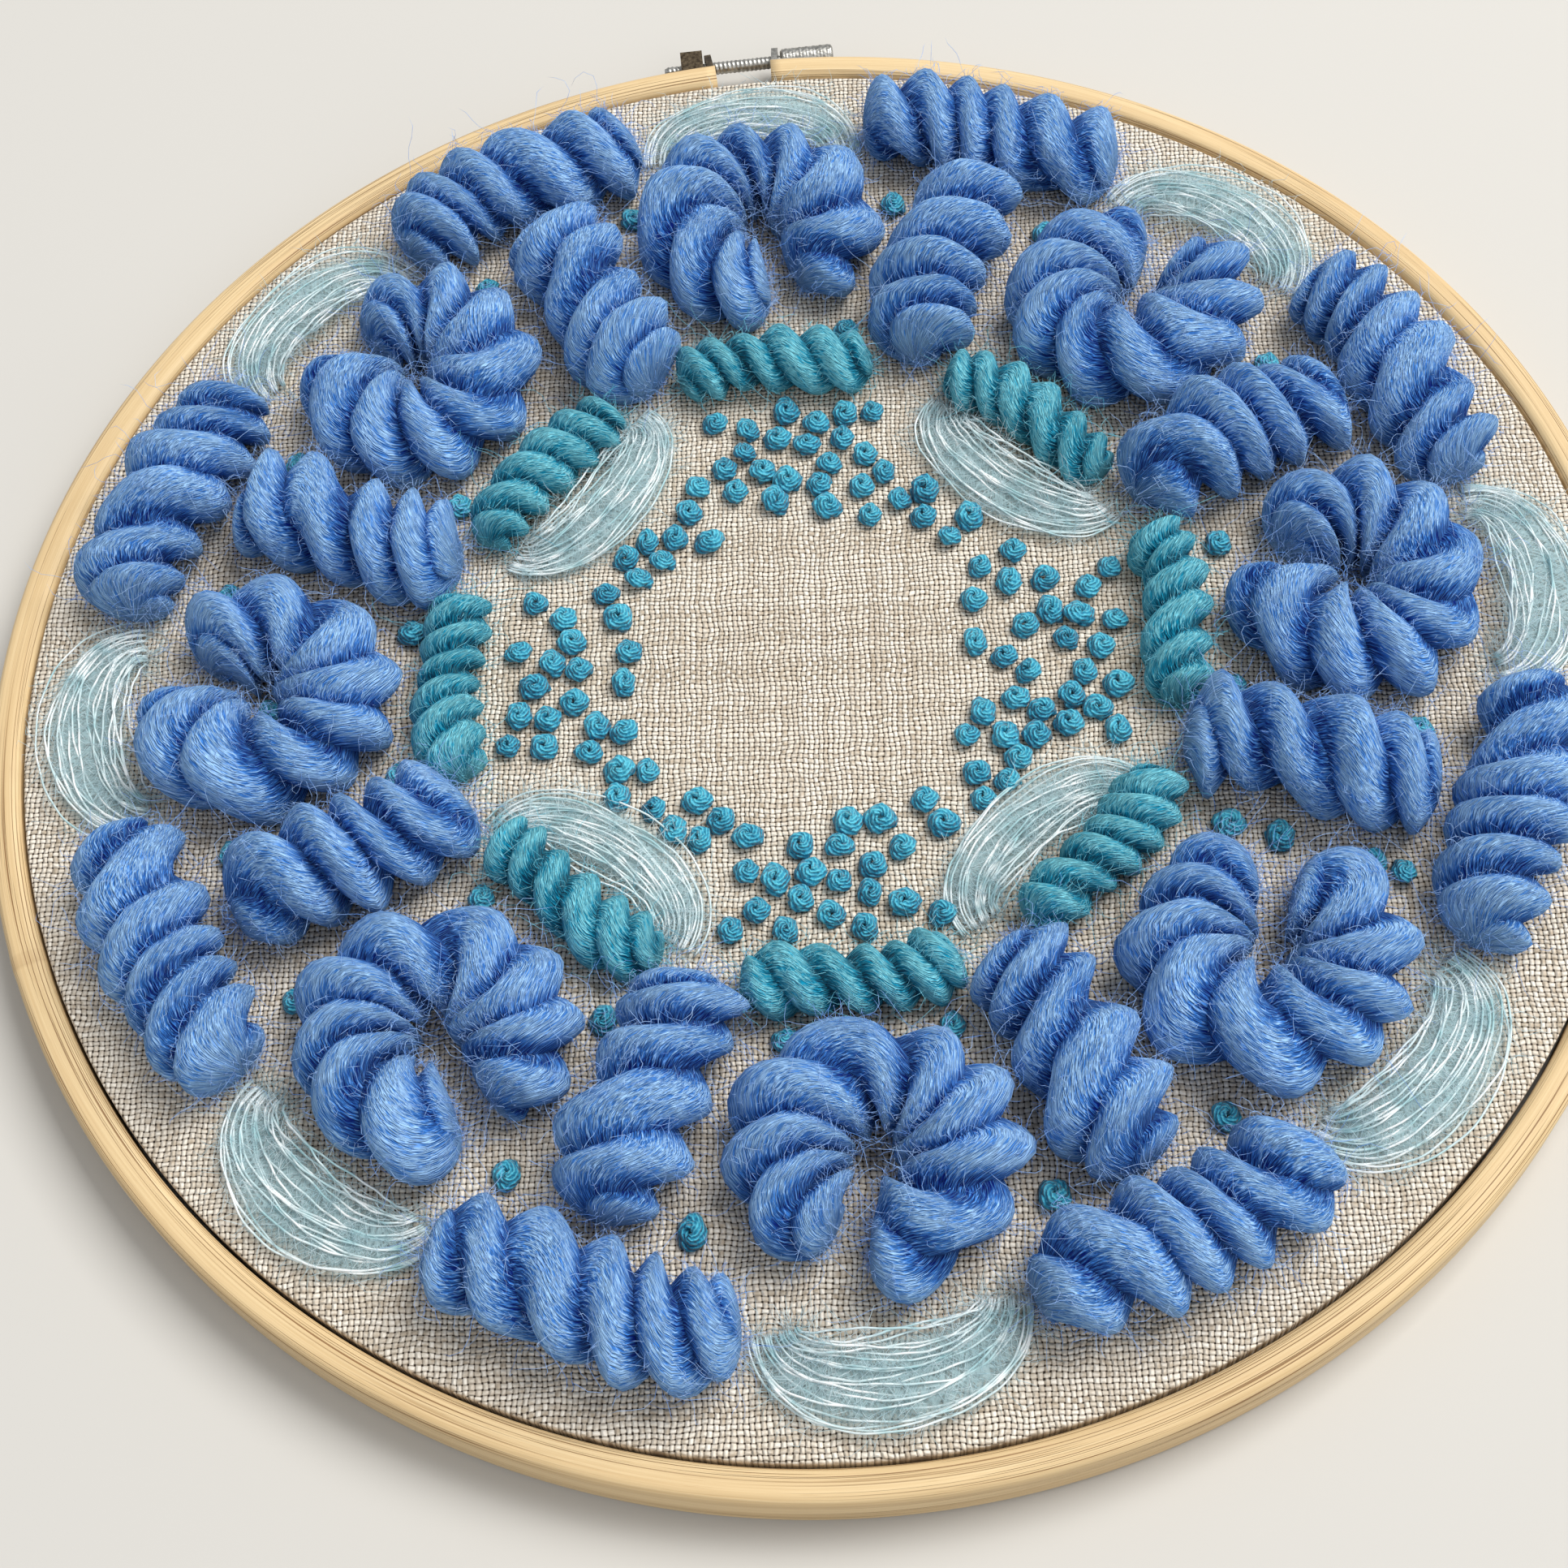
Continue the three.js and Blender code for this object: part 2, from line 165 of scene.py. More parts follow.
def tip_faces(index, first_tip, along, around, shift):
    """Fans of triangles from each piece's two tips to its first and its last station, and their UVs, in
    which a tip lies at the middle of the side that its triangle closes."""
    count, _, sides = index.shape
    tip = first_tip + 2 * np.arange(count)[:, None]
    turned = np.roll(index, -1, 2)
    low = np.stack(np.broadcast_arrays(tip, index[:, 0], turned[:, 0]), -1)
    high = np.stack(np.broadcast_arrays(tip + 1, turned[:, -1], index[:, -1]), -1)
    start, stop = around[:-1], around[1:]
    middle = (start + stop) / 2
    edges = np.array([[middle, start, stop], [middle, stop, start]])
    uv = np.stack(np.broadcast_arrays(along[:, None, None], edges), -1).transpose(0, 2, 1, 3)
    uv = np.broadcast_to(uv[:, None], (2, count, sides, 3, 2)).copy()
    uv[..., 0] += shift[None, :, 0]
    return np.concatenate([low, high]).reshape(-1, 3), uv.reshape(-1, 3, 2)


def mesh_piece(name, points, quads, tris, uv=None, marks=None):
    """An object of these points, in millimetres, and faces, with smooth shading. uv has a row for each
    corner of the faces. marks are named values at the points; tips have no value of their own and get 1."""
    mesh = bpy.data.meshes.new(name)
    mesh.vertices.add(len(points))
    mesh.vertices.foreach_set("co", place(points).astype(np.float32).ravel())
    corners = np.concatenate([quads.ravel(), tris.ravel()]).astype(np.int32)
    starts = np.concatenate([np.arange(len(quads)) * 4, 4 * len(quads) + np.arange(len(tris)) * 3])
    mesh.loops.add(len(corners))
    mesh.loops.foreach_set("vertex_index", corners)
    mesh.polygons.add(len(starts))
    mesh.polygons.foreach_set("loop_start", starts.astype(np.int32))
    mesh.polygons.foreach_set("use_smooth", np.ones(len(starts), bool))
    if uv is not None:
        mesh.uv_layers.new(name="UVMap").data.foreach_set("uv", uv.astype(np.float32).ravel())
    for mark, values in (marks or {}).items():
        full = np.ones(len(points), np.float32)
        full[:values.size] = values.ravel()
        mesh.attributes.new(mark, "FLOAT", "POINT").data.foreach_set("value", full)
    mesh.update(calc_edges=True)
    made = bpy.data.objects.new(name, mesh)
    bpy.context.scene.collection.objects.link(made)
    return made


NEARLY_UP = np.array([0.0001, 0.0001, 1.0001])  # off the vertical, along which a strand may rise


def strands(name, paths, radius, sides=3):
    """Round strands, pointed at both ends: a ring of sides points about each inner point of its path, at
    radius, which may change along the path. paths is (strands, points, 3)."""
    ahead = unit(np.gradient(paths, axis=1))
    across = unit(np.cross(ahead, NEARLY_UP))
    over = np.cross(across, ahead)
    angle = 2 * np.pi * np.arange(sides) / sides
    ring = np.cos(angle)[:, None] * across[:, :, None] + np.sin(angle)[:, None] * over[:, :, None]
    wide = np.broadcast_to(radius, paths.shape[:2])[:, 1:-1, None, None]
    return skin(name, paths[:, 1:-1, None] + wide * ring[:, 1:-1], paths[:, [0, -1]])


def finish_piece(made, look, slot, *replaced):
    """Gives a piece its material and its body, and hides the imported nodes that it stands for; its finish
    slot is not used.
    """
    made.data.materials.append(look.material)
    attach(made, "root")
    if replaced:
        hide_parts(*replaced)
    return made


# Materials

class Value:
    """A socket of a material's nodes. Arithmetic on it adds Math nodes."""

    def __init__(self, look, socket):
        self.look = look
        self.socket = socket

    def math(self, operation, other=0.0, swapped=False):
        """This value and the other, in that order or swapped, through a Math node."""
        pair = (other, self) if swapped else (self, other)
        return self.look.node("Math", {"operation": operation}, {0: pair[0], 1: pair[1]})

    def __add__(self, other):
        return self.math("ADD", other)

    def __sub__(self, other):
        return self.math("SUBTRACT", other)

    def __rsub__(self, other):
        return self.math("SUBTRACT", other, swapped=True)

    def __mul__(self, other):
        return self.math("MULTIPLY", other)

    def __pow__(self, other):
        return self.math("POWER", other)

    def __abs__(self):
        return self.math("ABSOLUTE")

    __radd__ = __add__
    __rmul__ = __mul__

    def sine(self):
        return self.math("SINE")

    def floor(self):
        return self.math("FLOOR")

    def larger(self, other):
        return self.math("MAXIMUM", other)

    def smooth(self, low, high):
        """0 below low, 1 above high, and a smooth step between them."""
        settings = {"interpolation_type": "SMOOTHSTEP"}
        return self.look.node("MapRange", settings, {"Value": self, "From Min": low, "From Max": high})


class Look:
    """A material in the making. Constants go on the shader's own sockets."""

    def __init__(self, name, constants):
        self.material = bpy.data.materials.new(name)
        self.material.use_nodes = True
        self.tree = self.material.node_tree
        self.shader = self.tree.nodes["Principled BSDF"]
        for socket, value in constants.items():
            self.shader.inputs[socket].default_value = value

    def node(self, kind, settings=None, inputs=None, output=0):
        """Adds a node, sets it, fills its sockets with values or links, and returns the output named."""
        made = self.tree.nodes.new("ShaderNode" + kind)
        for setting, value in (settings or {}).items():
            if setting == "stops":
                self.set_stops(made.color_ramp, value)
            else:
                setattr(made, setting, value)
        for socket, value in (inputs or {}).items():
            if isinstance(value, Value):
                self.tree.links.new(value.socket, made.inputs[socket])
            else:
                made.inputs[socket].default_value = value
        return Value(self, made.outputs[output])

    @staticmethod
    def set_stops(ramp, stops):
        """Gives a ramp its stops, each a position and a colour."""
        while len(ramp.elements) < len(stops):
            ramp.elements.new(0.5)
        for element, (position, colour) in zip(ramp.elements, stops):
            element.position = position
            element.color = colour

    def feed(self, **sockets):
        """Links values to the shader's sockets, in whose names _ stands for a space."""
        for socket, value in sockets.items():
            self.tree.links.new(value.socket, self.shader.inputs[socket.replace("_", " ")])

    def place(self):
        """The piece's place in the frame, as x, y and z in millimetres."""
        whole = self.node("TexCoord", output="Object")
        return self.split(whole, 1000)

    def surface(self):
        """The UV map: millimetres along and round the piece."""
        return self.split(self.node("TexCoord", output="UV"), 1)[:2]

    def split(self, vector, scale):
        """The three parts of a vector, each times scale."""
        parts = [self.node("SeparateXYZ", None, {0: vector}, axis) for axis in range(3)]
        return [part * scale for part in parts]

    def mark(self, name):
        """A value that the mesh carries at its points."""
        return self.node("Attribute", {"attribute_name": name}, output="Fac")

    def noise(self, x, y=0.0, z=0.0, detail=2.0, rough=0.5):
        """Smooth noise of about one bump to each unit of x, y and z, from 0 to 1."""
        where = self.node("CombineXYZ", None, {0: x, 1: y, 2: z})
        inputs = {"Vector": where, "Scale": 1.0, "Detail": detail, "Roughness": rough}
        return self.node("TexNoise", None, inputs)

    def lines(self, along, around, lean, start, wide=0.11):
        """Fine hairs that run along a surface, turned by lean: the level line of a noise drawn out."""
        drawn = self.noise(along * 0.24, (around + along * lean) * 1.1, start, 0.0)
        return 1 - abs(drawn - 0.5).smooth(0.0, wide)

    def chance(self, number):
        """A value from 0 to 1 for each whole number."""
        return self.node("TexWhiteNoise", {"noise_dimensions": "1D"}, {"W": number})

    def ramp(self, value, *stops):
        """The colour at value between the stops."""
        return self.node("ValToRGB", {"stops": stops}, {0: value})

    def blend(self, factor, first, second):
        """The first colour where factor is 0, and the second where it is 1."""
        return self.node("Mix", {"data_type": "RGBA"}, {0: factor, 6: first, 7: second}, 2)

    def bump(self, height, depth):
        """A bump of this depth in millimetres where height goes from 0 to 1."""
        inputs = {"Height": height, "Distance": depth / 1000, "Strength": 1.0}
        self.feed(Normal=self.node("Bump", None, inputs))


def paint(red, green, blue):
    """A colour as it shows on a screen, 0 to 255, as linear light."""
    parts = np.array([red, green, blue]) / 255
    linear = np.where(parts <= 0.04045, parts / 12.92, ((parts + 0.055) / 1.055) ** 2.4)
    return (*linear.tolist(), 1.0)


def bamboo_look():
    """Bamboo that runs along the ring: broad and fine streaks, short dark dashes, long grain lines that
    come and go, and a darker band at each knuckle."""
    look = Look("pale_bamboo", {"Roughness": 0.5, "Specular IOR Level": 0.35})
    along, around = look.surface()
    broad = look.noise(along * 0.012, around * 0.35, 0.0, 3.0)
    fine = look.noise(along * 0.035, around * 3.2, 7.0, 3.0, 0.65)
    dashes = look.noise(along * 0.16, around * 5.0, 3.0, 2.0, 0.6).smooth(0.62, 0.76)
    grain = look.noise(along * 0.016, around * 4.8, 11.0, 1.0).smooth(0.57, 0.64)
    grain = grain * look.noise(along * 0.01, around * 0.3, 5.0, 1.0).smooth(0.42, 0.56)
    base = look.ramp(broad * 0.5 + fine * 0.5, (0.34, paint(206, 174, 126)), (0.66, paint(230, 204, 158)))
    marked = look.blend(dashes * 0.35, base, paint(168, 126, 76))
    marked = look.blend(grain * 0.85, marked, paint(132, 90, 46))
    knuckle = 1 - abs(look.mark("knuckle")).smooth(0.0, 1.0)
    look.feed(Base_Color=look.blend(knuckle * 0.5, marked, paint(146, 104, 62)))
    look.feed(Roughness=0.44 + fine * 0.16)
    look.bump(fine * 0.5 - grain * 0.5, 0.14)
    return look


THREAD_PITCH = 0.84
WEAVE_TURN = math.radians(-4.5)
WEAVE_WANDER = 1.9  # of a thread from its straight line, in pitches


def linen_look():
    """Plain weave. Across a thread its height is the sine of the way over the pitch; the sign of both
    sines' product tells which thread lies on top, and it dips at the ends of each such float. Painted shade
    darkens each thread where it dips and fills the holes between the threads."""
    look = Look("natural_linen", {"Roughness": 0.92, "Specular IOR Level": 0.2, "Sheen Weight": 0.1})
    x, y, z = look.place()
    cosine = math.cos(WEAVE_TURN) / THREAD_PITCH
    sine = math.sin(WEAVE_TURN) / THREAD_PITCH
    u = x * cosine + y * sine + look.noise(x * 0.16, y * 0.16, 3.0, 1.0, 0.6) * WEAVE_WANDER
    v = y * cosine - x * sine + look.noise(x * 0.16, y * 0.16, 9.0, 1.0, 0.6) * WEAVE_WANDER
    warp_sine = (u * math.pi).sine()
    weft_sine = (v * math.pi).sine()
    warp_number = u.floor()
    weft_number = v.floor()
    warp_thick = look.noise(warp_number * 3.1, v * 0.3, 2.0, 0.0)
    weft_thick = look.noise(weft_number * 2.7, u * 0.3, 5.0, 0.0)
    warp = abs(warp_sine) * (warp_thick * 1.1 + 0.45)
    weft = abs(weft_sine) * (weft_thick * 1.1 + 0.45)
    on_top = (warp_sine * weft_sine).smooth(-0.12, 0.12)
    dip = (abs(warp_sine) * abs(weft_sine)) ** 0.3
    height = (warp * on_top + weft * (1 - on_top)) * dip
    tone = look.chance(warp_number + 0.5) * on_top + look.chance(weft_number + 0.25) * (1 - on_top)
    mottle = look.noise(x * 1.2, y * 1.2, z * 1.2, 0.0)
    tone = tone * 0.3 + mottle * 0.55 + 0.12
    thread = look.ramp(tone, (0.3, paint(194, 178, 156)), (0.7, paint(248, 239, 224)))
    # painted shade where a thread dips towards its edges
    shaded = look.blend(height.smooth(0.0, 0.5), paint(156, 140, 120), thread)
    # painted shade in the holes between the threads; where the cloth turns down over the ring, thread
    # colour closes them
    turned_down = 1 - z.smooth(CLOTH_TOP - 0.4, CLOTH_TOP - 0.1)
    closed = warp.larger(weft).smooth(0.3, 0.64).larger(turned_down)
    look.feed(Base_Color=look.blend(closed, paint(40, 30, 24), shaded))
    look.bump(height, 0.3)
    return look


# Per yarn: the painted shade of the grooves, the middle colour, and the light colour that the painted crest
# highlight reaches; then the sheen's tint
BLUES = (paint(0, 26, 112), paint(64, 132, 218), paint(164, 208, 254))
BLUE_SHEEN = paint(130, 180, 250)
TEALS = (paint(0, 62, 92), paint(14, 148, 184), paint(132, 216, 232))
TEAL_SHEEN = paint(150, 220, 224)


def wool_look(name, groove_shade, middle, light, sheen):
    """Roving: a web of fibres runs along each ply, in layers that cross at small angles. Painted shade
    darkens the grooves between the plies, and a painted highlight lightens their crests."""
    look = Look(name, {"Roughness": 0.9, "Specular IOR Level": 0.1, "Sheen Weight": 0.25,
                       "Sheen Roughness": 0.4, "Sheen Tint": sheen})
    along, around = look.surface()
    web = look.noise(along * 0.55, (around + along * 0.12) * 3.2, 0.0, 1.0, 0.8).smooth(0.3, 0.72)
    hairs = look.lines(along, around, 0.5, 6.0)
    hairs = hairs.larger(look.lines(along, around, -0.7, 9.0))
    lock = look.noise(along * 0.08, around * 0.5, 2.0, 0.0)
    # crest brings painted shade into the grooves and a painted highlight onto the crests; web and lock are
    # the fibres' own pattern and tone
    ground = look.mark("crest").smooth(0.05, 0.95) * 0.5 + web * 0.5 + lock * 0.26
    tone = ground * (hairs * 0.36 + 0.86) - 0.2
    # the ramp runs from the painted groove shade through the middle colour to the light crest colour
    look.feed(Base_Color=look.ramp(tone, (0.02, groove_shade), (0.4, middle), (0.78, light)))
    look.bump(web, 0.6)
    return look


def plain_fibre_look(name, dark, light):
    """Loose fibres and core thread, darker in some places than in others."""
    look = Look(name, {"Roughness": 0.6, "Specular IOR Level": 0.3, "Sheen Weight": 0.3})
    x, y, z = look.place()
    look.feed(Base_Color=look.ramp(look.noise(x * 0.2, y * 0.2, z * 0.6), (0.35, dark), (0.6, light)))
    return look


def veil_look():
    """The haze between the mohair loops: fibre streaks that let the cloth show through."""
    look = Look("mohair_veil", {"Base Color": paint(176, 205, 210), "Roughness": 0.9, "Sheen Weight": 0.2})
    along, around = look.surface()
    hairs = look.lines(along * 2.2, around * 1.2, 0.8, 6.0, 0.14)
    hairs = hairs.larger(look.lines(along * 2.2, around * 1.2, -0.6, 9.0, 0.14))
    look.feed(Alpha=(hairs * 0.42 + 0.2) * (1 - look.mark("rim").smooth(0.35, 0.95)))
    return look


def cotton_look():
    """Stranded cotton of the knots: a fine twist across the thread, and painted shade that darkens it the
    lower it lies.
    """
    look = Look("turquoise_cotton", {"Roughness": 0.55, "Specular IOR Level": 0.4, "Sheen Weight": 0.2})
    x, y, z = look.place()
    along, around = look.surface()
    twist = ((along * 1.1 + around * 2.0) * math.pi).sine()
    broad = look.noise(x * 0.12, y * 0.12, 0.0, 0.0)
    fine = look.noise(x * 2.2, y * 2.2, z * 2.2, 1.0)
    # the height term is painted shade: the thread is darker low down and lighter towards each knot's top
    tone = broad * 0.3 + fine * 0.5 + twist * 0.12 + (z - CLOTH_TOP) * 0.1 - 0.1
    look.feed(Base_Color=look.ramp(tone, (0.25, paint(2, 78, 110)), (0.45, paint(10, 140, 176)),
                                   (0.7, paint(90, 200, 222))))
    look.bump(twist * 0.3 + fine * 0.7, 0.35)
    return look


def metal_look(name, dark, light, rough):
    """Bare metal, unevenly worn: its paler places are a little duller."""
    look = Look(name, {"Metallic": 1.0})
    x, y, z = look.place()
    wear = look.noise(x * 1.4, y * 1.4, z * 1.4, 4.0, 0.6)
    look.feed(Base_Color=look.ramp(wear, (0.35, dark), (0.65, light)), Roughness=wear * 0.2 + rough)
    return look


# Hoop

RING_ROUND = 1.5
PROFILE_CORNER = 6
OUTER_STATIONS = 400
INNER_STATIONS = 360
KNUCKLES = (math.radians(197), math.radians(-36))  # where they lie round the ring
KNUCKLE_WIDE = 1.6  # half width along the ring
KNUCKLE_SWELL = 0.12
NO_KNUCKLE = 9.0  # a distance from the nearest knuckle, in its half widths, at which none shows


def rounded_profile(inner, outer, low, high, radius):
    """A rectangle with round corners, as distance out, height and running length."""
    quarter = np.linspace(0, np.pi / 2, PROFILE_CORNER)
    corners = [(outer - radius, low + radius, -90), (outer - radius, high - radius, 0),
               (inner + radius, high - radius, 90), (inner + radius, low + radius, 180)]
    out = np.concatenate([x + radius * np.cos(quarter + math.radians(start)) for x, _, start in corners])
    up = np.concatenate([y + radius * np.sin(quarter + math.radians(start)) for _, y, start in corners])
    steps = np.hypot(np.diff(out, append=out[0]), np.diff(up, append=up[0]))
    return out, up, np.concatenate([[0], np.cumsum(steps)])


def ring_rows(angle, out, up):
    """A profile carried round the hoop's axis: angle turns it, out is its distance and up its height."""
    turn = angle[:, None]
    return np.stack(np.broadcast_arrays(out * np.cos(turn), out * np.sin(turn), up), -1)[None]


def outer_ring(look):
    """The profile carried from one side of the split to the other. At a knuckle it swells by a bell curve
    of the distance from it."""
    half = math.asin(RING_SPLIT / 2 / HOOP_INSIDE)
    angle = np.linspace(np.pi / 2 + half, 2.5 * np.pi - half, OUTER_STATIONS)
    out, up, around = rounded_profile(HOOP_INSIDE, HOOP_INSIDE + RING_WALL, 0, RING_HEIGHT, RING_ROUND)
    away = [(angle - at + np.pi) % (2 * np.pi) - np.pi for at in KNUCKLES]
    away = np.min(np.abs(away), 0) * HOOP_INSIDE / KNUCKLE_WIDE
    middle = HOOP_INSIDE + RING_WALL / 2
    swell = 1 + KNUCKLE_SWELL * np.exp(-away ** 2)[:, None] / (RING_WALL / 2)
    rows = ring_rows(angle, middle + (out - middle) * swell, up)
    ends = ring_rows(angle[[0, -1]], np.array([middle]), np.array([RING_HEIGHT / 2]))[:, :, 0]
    knuckle = np.broadcast_to(away[:, None], rows.shape[1:3])
    made = skin("bamboo_outer_ring", rows, ends, angle * HOOP_INSIDE, around, {"knuckle": knuckle})
    return finish_piece(made, look, "bamboo", "hoop_outer")


def inner_ring(look):
    """The profile carried right round, with no knuckle."""
    angle = np.linspace(0, 2 * np.pi, INNER_STATIONS, endpoint=False)
    out, up, around = rounded_profile(INNER_RADIUS - INNER_WALL, INNER_RADIUS, 0, INNER_TOP, RING_ROUND)
    rows = ring_rows(angle, out, up)
    along = np.linspace(0, 2 * np.pi, INNER_STATIONS + 1) * INNER_RADIUS
    knuckle = np.full(rows.shape[1:3], NO_KNUCKLE)
    made = skin("bamboo_inner_ring", rows, None, along, around, {"knuckle": knuckle})
    return finish_piece(made, look, "bamboo", "hoop_inner")


# Linen

CLOTH_SPOKES = 240
FACE_RINGS = 20
SHOULDER_RINGS = 6
DROP_RINGS = 6


def linen_sheet(look):
    """A disc drawn flat, which turns over the inner ring in a quarter round and hangs down its side. The
    face's rings lie evenly by area."""
    angle = np.linspace(0, 2 * np.pi, CLOTH_SPOKES, endpoint=False)
    flat = CLOTH_RIM - CLOTH_SHOULDER
    face = flat * np.sqrt(np.linspace(0.01, 1, FACE_RINGS))
    turn = np.linspace(0, np.pi / 2, SHOULDER_RINGS + 1)[1:]
    drop = np.linspace(CLOTH_TOP - CLOTH_SHOULDER, CLOTH_FOOT, DROP_RINGS + 1)[1:]
    out = np.concatenate([face, flat + CLOTH_SHOULDER * np.sin(turn), np.full(DROP_RINGS, CLOTH_RIM)])
    shoulder = CLOTH_TOP - CLOTH_SHOULDER * (1 - np.cos(turn))
    up = np.concatenate([np.full(FACE_RINGS, float(CLOTH_TOP)), shoulder, drop])
    rows = np.stack([out[:, None] * np.cos(angle), out[:, None] * np.sin(angle),
                     np.broadcast_to(up[:, None], (len(up), len(angle)))], -1)
    index = np.arange(rows.shape[0] * rows.shape[1]).reshape(rows.shape[:2])
    turned = np.roll(index, -1, 1)
    quads = np.stack([index[:-1], index[1:], turned[1:], turned[:-1]], -1).reshape(-1, 4)
    points = np.concatenate([rows.reshape(-1, 3), [[0, 0, CLOTH_TOP]]])
    tris = np.stack(np.broadcast_arrays(len(points) - 1, index[0], turned[0]), -1)
    made = mesh_piece("linen_sheet", points, quads, tris)
    wall = made.modifiers.new("cloth_thickness", "SOLIDIFY")
    wall.thickness = CLOTH_THICK / 1000
    wall.offset = -1
    return finish_piece(made, look, "linen_cloth", "linen")


# Wool

def stray(seed):
    """A steady value from -1 to 1 for each seed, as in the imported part: the part after the point of a
    large sine."""
    whole = math.sin(seed * 12.9898) * 43758.5453
    return 2 * (whole - math.floor(whole)) - 1


class Lay:
    """A laid length's path: an arc that turns by bend over its length and sways a little to and fro."""

    def __init__(self, row, sector, number):
        seed = sector * len(WREATH) + WREATH.index(row) + 1
        angle = math.radians(360 / SECTORS * sector + row["along"]) + HAND_SHIFT * stray(seed) / row["out"]
        self.out = row["out"] + HAND_SHIFT * stray(seed + 0.37)
        self.at = self.out * np.array([math.cos(angle), math.sin(angle)])
        self.heading = angle + math.pi / 2 + math.radians(row["heading"] + row["free"] * stray(seed + 0.71))
        self.bend = math.radians(row["bend"])
        self.length = row["length"]
        self.sway = row["sway"]
        self.radius = self.length / self.bend
        half = self.bend / 2
        self.middle = self.radius if half > math.pi / 2 else self.radius * (1 - math.sin(half) / half)
        self.row = row
        self.seed = seed
        self.node = f"{row['name']}_{number:02d}"

    def local(self, on, off):
        """Distance on along the heading and off to its left, as x and y."""
        c, s = math.cos(self.heading), math.sin(self.heading)
        return np.stack([self.at[0] + c * on - s * off, self.at[1] + s * on + c * off], -1)

    def point(self, t):
        """The place at t, from 0 to 1: round the arc, and off it by one wave of the sway."""
        turn = self.bend * (t - 0.5)
        bow = self.radius * (1 - np.cos(turn)) - self.middle
        return self.local(self.radius * np.sin(turn), bow + self.sway * np.sin(2 * np.pi * t))

    def side(self, t):
        """The direction to the left of the path at t."""
        ahead = unit(self.point(t + 0.001) - self.point(t - 0.001))
        return np.stack([-ahead[..., 1], ahead[..., 0]], -1)


def wreath():
    """A path for each row that a sector has, numbered by name in the order of the sectors."""
    numbers = {}
    lays = []
    for sector in range(SECTORS):
        for row in WREATH:
            if sector % 2 in row["kinds"]:
                numbers[row["name"]] = numbers.get(row["name"], 0) + 1
                lays.append(Lay(row, sector, numbers[row["name"]]))
    return lays


CAP_STATIONS = 8
CAP_ROUND = 0.7  # power of the quarter ellipse at an end, blunter as it is smaller
UNEVEN = 0.12  # of a ply's radius, in slow waves along it
UNEVEN_WAVES = (0.23, 0.61)  # radians to a millimetre
RIDGE = 0.03  # of a ply's radius, in ridges that wind slowly round it
RIDGES = (4, 7)
RIDGE_LEANS = (0.35, -0.21)  # radians to a millimetre
WANDER = 0.7  # of the plies' wind, in radians
WANDER_WAVE = 0.17  # radians to a millimetre
END_DROP = 0.45  # of a laid length's axis at its ends, as a share of its height
GROOVE = 0.6  # how far out a ply's surface lies in the grooves, as a share of its outermost
CREST = 0.96  # the same where its crests begin
PATTERN_SHIFT = 90  # along a material's pattern, from one laid length to the next


def ply_rows(lay, rng):
    """Two plies wound about each other. Each is a circle off the yarn's middle that turns once in a
    pitch; both its place and its size shrink as a quarter ellipse at the ends, and its underside is flat.
    Returns the rows, the tips, the lengths along, and 0 in the grooves to 1 on the crests."""
    yarn = lay.row["yarn"]
    wide = yarn["wide"]
    end = BLUNT * wide
    straight = lay.length / 2 - end
    cap = np.linspace(0, np.pi / 2, CAP_STATIONS + 1)[1:-1]
    body = np.linspace(-straight, straight, int(2 * straight / yarn["step"]))
    along = np.concatenate([-straight - end * np.sin(cap[::-1]), body, straight + end * np.sin(cap)])
    blunt = np.cos(cap) ** CAP_ROUND
    envelope = np.concatenate([blunt[::-1], np.ones(len(body)), blunt])
    t = 0.5 + along / lay.length
    ply = np.arange(2)[:, None, None]
    station = along[None, :, None]
    angle = 2 * np.pi * np.arange(yarn["sides"]) / yarn["sides"]
    slow = rng.uniform(0, 2 * np.pi, (4, 2, 1, 1))
    waves = [np.sin(station * wave + start) for wave, start in zip(UNEVEN_WAVES, slow)]
    uneven = 1 + UNEVEN * (waves[0] + 0.6 * waves[1])
    wander = WANDER * np.sin(station * WANDER_WAVE + slow[2, :1])
    wind = 2 * np.pi * station / yarn["pitch"] + np.pi * ply + wander
    broad, fine = (np.sin(number * angle + station * lean + start)
                   for number, lean, start in zip(RIDGES, RIDGE_LEANS, (slow[3], slow[2])))
    size = envelope[None, :, None]
    radius = yarn["ply"] * size * uneven * (1 + RIDGE * (broad + 0.7 * fine))
    away = yarn["off"] * size ** 2
    across = away * np.cos(wind) + radius * np.cos(angle)
    over = away * np.sin(wind) + radius * np.sin(angle)
    rise = yarn["high"] * (1 + lay.row["crown"] * (1 - (2 * t - 1) ** 2))[None, :, None]
    axis = SETTLE * (1 - END_DROP * (1 - size))
    height = np.maximum(WOOL_FLOOR, WOOL_FLOOR + rise * (axis + over))
    flat = lay.point(t)[None, :, None] + lay.side(t)[None, :, None] * (across * wide)[..., None]
    rows = np.concatenate([flat, height[..., None]], -1)
    crest = np.hypot(across, over) / (away + yarn["ply"] * size)
    crest = np.clip((crest - GROOVE) / (CREST - GROOVE), 0, 1)
    tip = WOOL_FLOOR + yarn["high"] * SETTLE * (1 - END_DROP)
    tips = [np.append(lay.point(np.array(x)), tip) for x in (0.0, 1.0)]
    return rows, np.broadcast_to(np.array(tips), (2, 2, 3)), along, crest


def normals(rows):
    """The outward direction at each point of rows that run round their pieces."""
    along = np.gradient(rows, axis=1)
    around = np.roll(rows, -1, 2) - np.roll(rows, 1, 2)
    return unit(np.cross(around, along))


